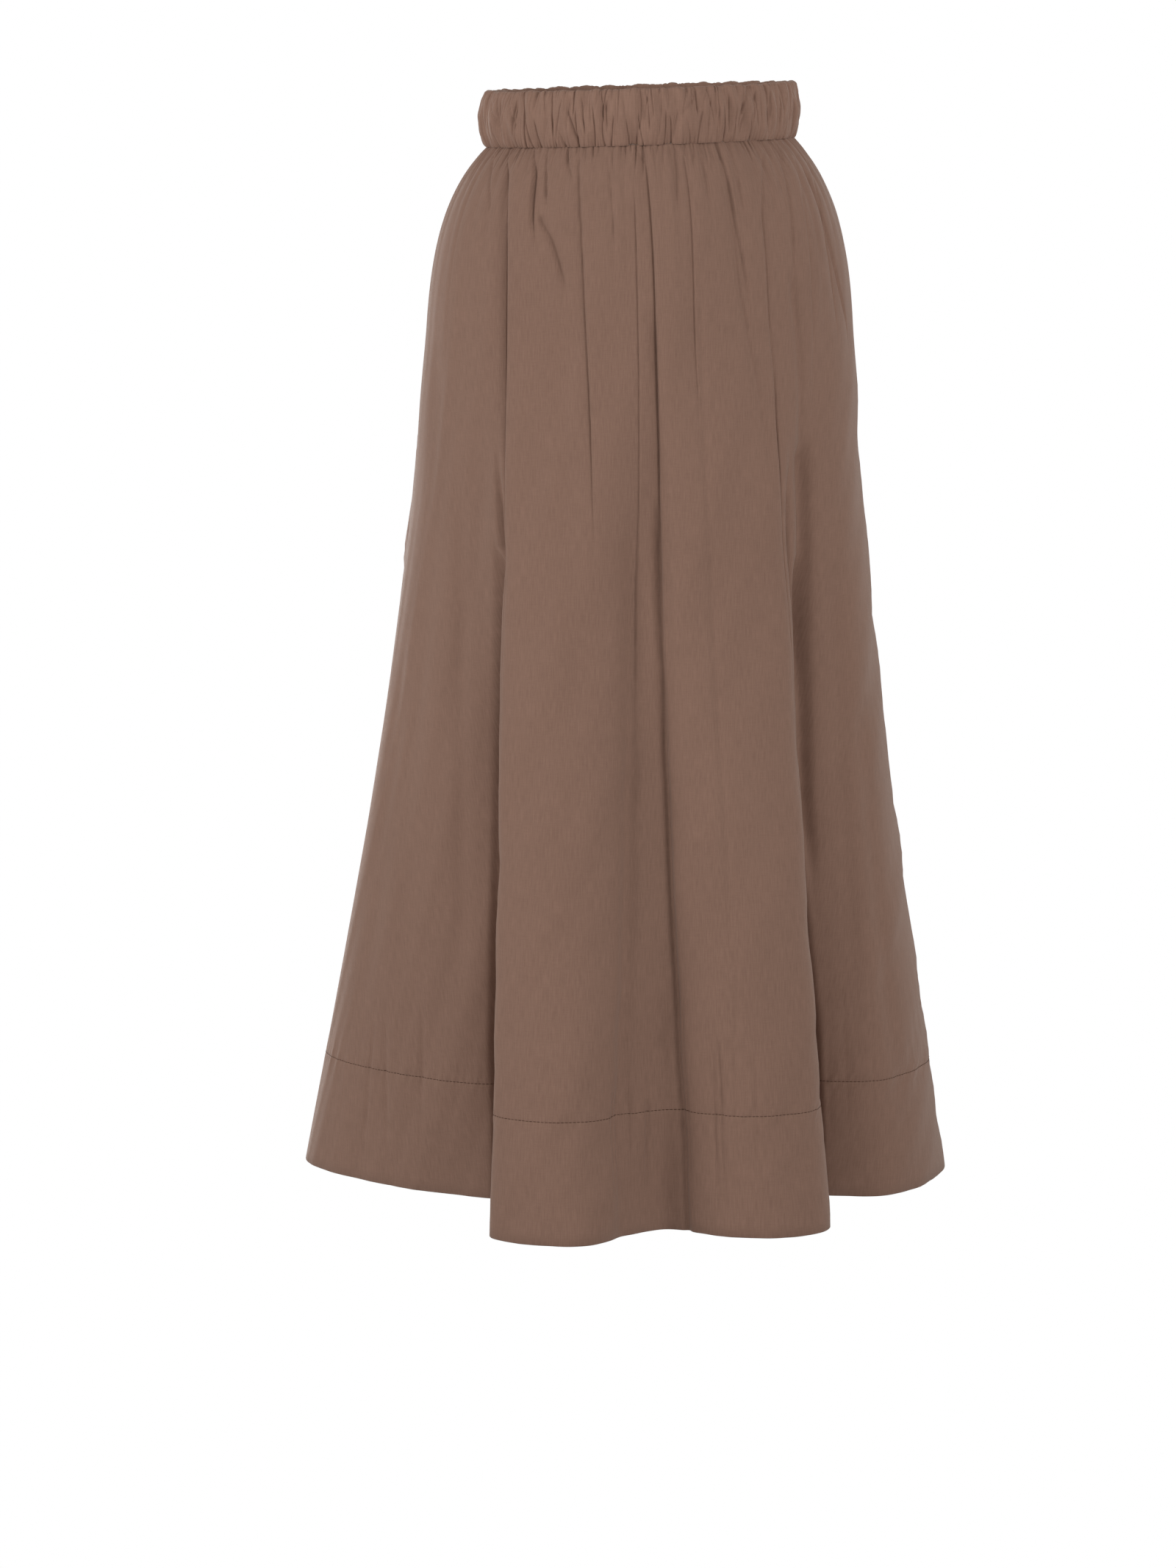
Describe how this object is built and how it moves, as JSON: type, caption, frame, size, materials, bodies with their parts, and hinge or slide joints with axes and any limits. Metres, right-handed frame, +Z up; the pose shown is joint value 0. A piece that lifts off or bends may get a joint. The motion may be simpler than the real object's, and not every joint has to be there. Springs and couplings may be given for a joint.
{
  "type": "midi skirt",
  "caption": "Worn flared midi skirt in plain brown woven cloth, with a ruched elastic waistband, panels gathered into it and a deep stitched hem.",
  "frame": {"origin": "middle of the waistband, halfway up its height, where the wearer holds the skirt up", "axes": "+Z up along the wearer, -Y towards the front of the skirt, +X to the right as seen from the front"},
  "size_m": [0.5555, 0.5179, 0.9267],
  "materials": {
    "band_cloth": "matt brown woven cotton blend, ruched over elastic",
    "panel_cloth": "matt brown woven cotton blend with a faint smooth sheen"
  },
  "bodies": {
    "root": {"waistband": "band_cloth", "front_panel": "panel_cloth", "back_panel": "panel_cloth"}
  },
  "joints": []
}
